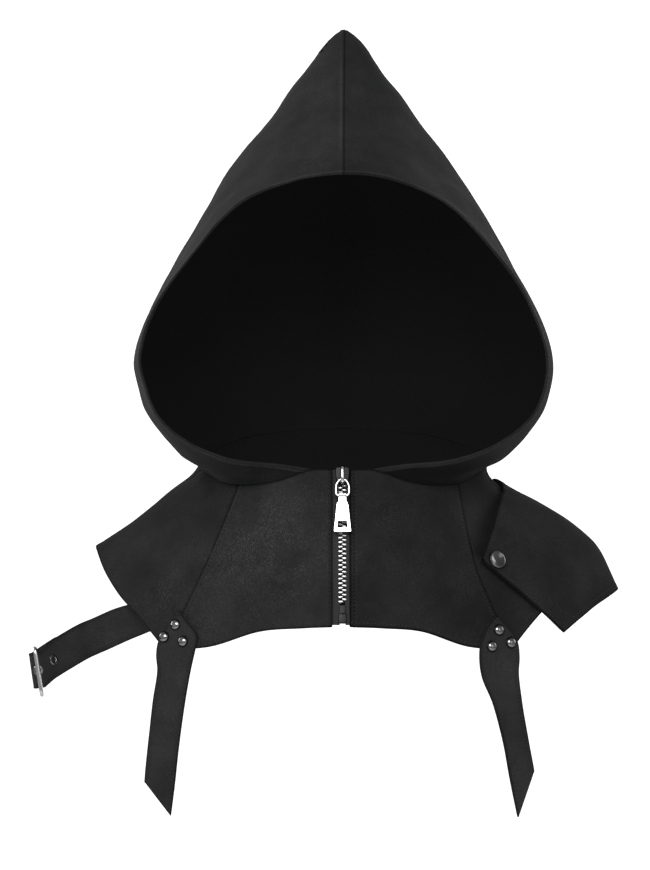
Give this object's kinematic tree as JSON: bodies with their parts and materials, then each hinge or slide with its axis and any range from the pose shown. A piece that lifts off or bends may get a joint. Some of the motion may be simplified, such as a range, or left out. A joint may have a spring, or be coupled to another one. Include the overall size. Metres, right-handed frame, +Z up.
{
  "type": "gothic hood",
  "caption": "Pointed cloth hood with a wide face opening on a short zipped yoke, with a snapped shoulder flap, riveted hanging strap tails and a side strap with a buckle.",
  "frame": {"origin": "middle of the neck opening at the height of the zip's top, where a neck fills the worn hood", "axes": "+X the viewer's right, the face opening and the zip look to -Y, +Z up to the peak"},
  "size_m": [0.47, 0.2505, 0.6292],
  "materials": {
    "suede": "matte black brushed faux suede",
    "webbing": "matte black doubled suede strap",
    "zip_tape": "matte black woven tape",
    "chrome": "polished nickel",
    "snap_steel": "satin grey"
  },
  "bodies": {
    "hood_body": {"hood_left": "suede", "hood_right": "suede", "yoke_back": "suede", "yoke_front_left": "suede", "yoke_front_right": "suede", "yoke_shoulder_left": "suede", "yoke_shoulder_right": "suede", "shoulder_flap": "suede", "flap_snap": "snap_steel", "strap_tail_left": "webbing", "strap_tail_right": "webbing", "rivet_left_1": "chrome", "rivet_left_2": "chrome", "rivet_left_3": "chrome", "rivet_right_1": "chrome", "rivet_right_2": "chrome", "rivet_right_3": "chrome", "buckle_strap": "webbing", "strap_eyelet": "chrome", "fold_eyelet": "chrome", "buckle_prong": "chrome", "zip_tape_left": "zip_tape", "zip_tape_right": "zip_tape", "zip_teeth_left": "chrome", "zip_teeth_right": "chrome", "zip_box": "chrome", "zip_slider": "chrome"},
    "bail": {"zip_bail": "chrome"},
    "tab": {"zip_tab": "chrome"},
    "buckle": {"buckle_frame": "chrome"}
  },
  "joints": [
    {"name": "bail_swing", "type": "hinge", "parent": "hood_body", "child": "bail", "pos_m": [0, -0.11032, -0.00729], "axis": [-1, 0, 0], "range_deg": [0, 120]},
    {"name": "tab_swing", "type": "hinge", "parent": "bail", "child": "tab", "pos_m": [0, -0.11278, -0.01944], "axis": [-1, 0, 0], "range_deg": [0, 110]},
    {"name": "buckle_swing", "type": "hinge", "parent": "hood_body", "child": "buckle", "pos_m": [-0.239, -0.095, -0.1574], "axis": [0.148, 0, -0.989], "range_deg": [-90, 150]}
  ]
}
